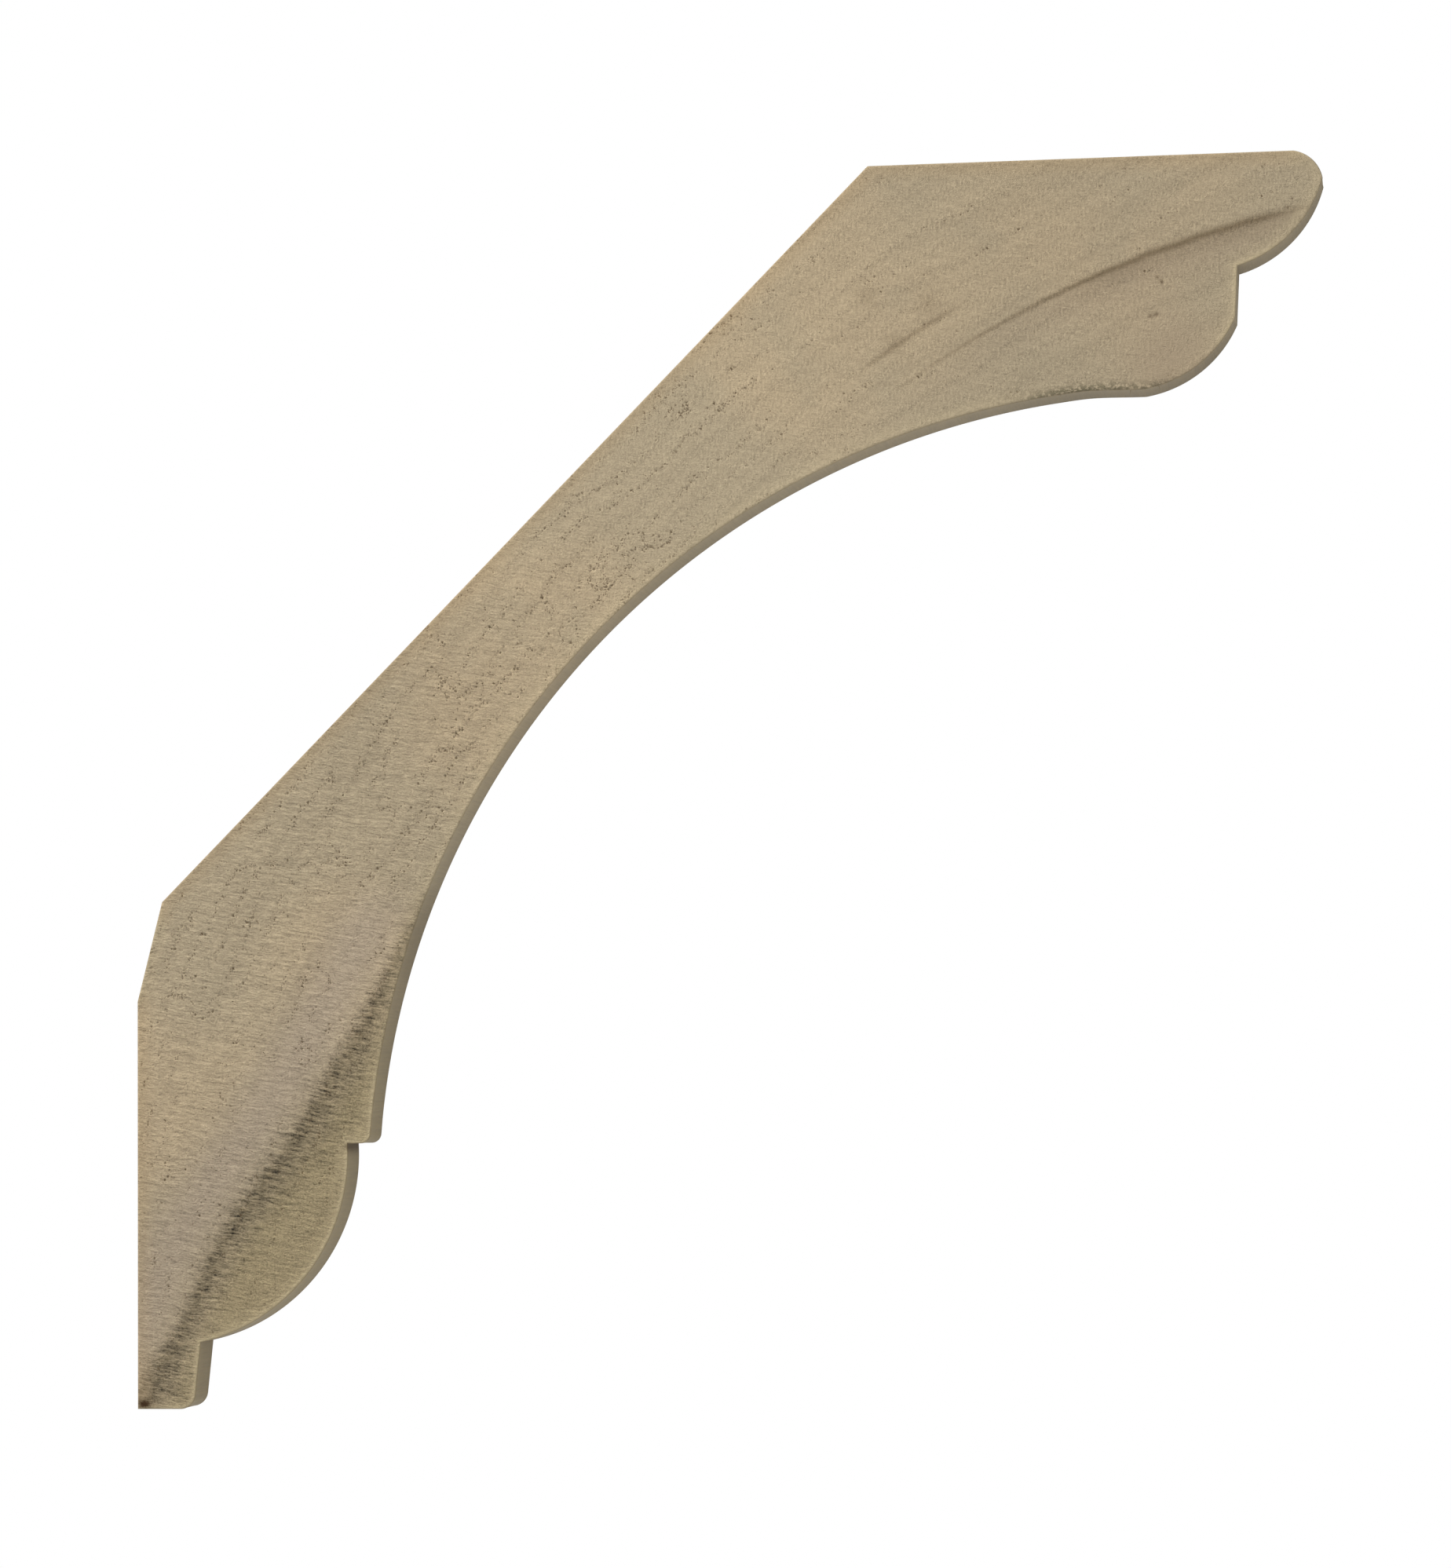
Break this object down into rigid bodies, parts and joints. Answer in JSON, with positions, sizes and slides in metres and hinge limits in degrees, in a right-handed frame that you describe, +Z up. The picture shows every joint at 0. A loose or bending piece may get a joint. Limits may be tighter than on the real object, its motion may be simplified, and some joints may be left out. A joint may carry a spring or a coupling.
{
  "type": "crown moulding",
  "caption": "Short sawn length of solid poplar crown moulding with a wide cove, ovolo, lobe and quarter round, for the angle of a wall and ceiling.",
  "frame": {"origin": "centre of the flat that lies on the wall, halfway along the sawn length", "axes": "+X out from the wall into the room, +Z up to the ceiling, Y along the moulding; the pictured sawn end faces -Y"},
  "size_m": [0.085, 0.0038, 0.0872],
  "materials": {
    "poplar": "bare, saw-marked end grain, planed faces"
  },
  "bodies": {
    "root": {"crown_moulding": "poplar"}
  },
  "joints": []
}
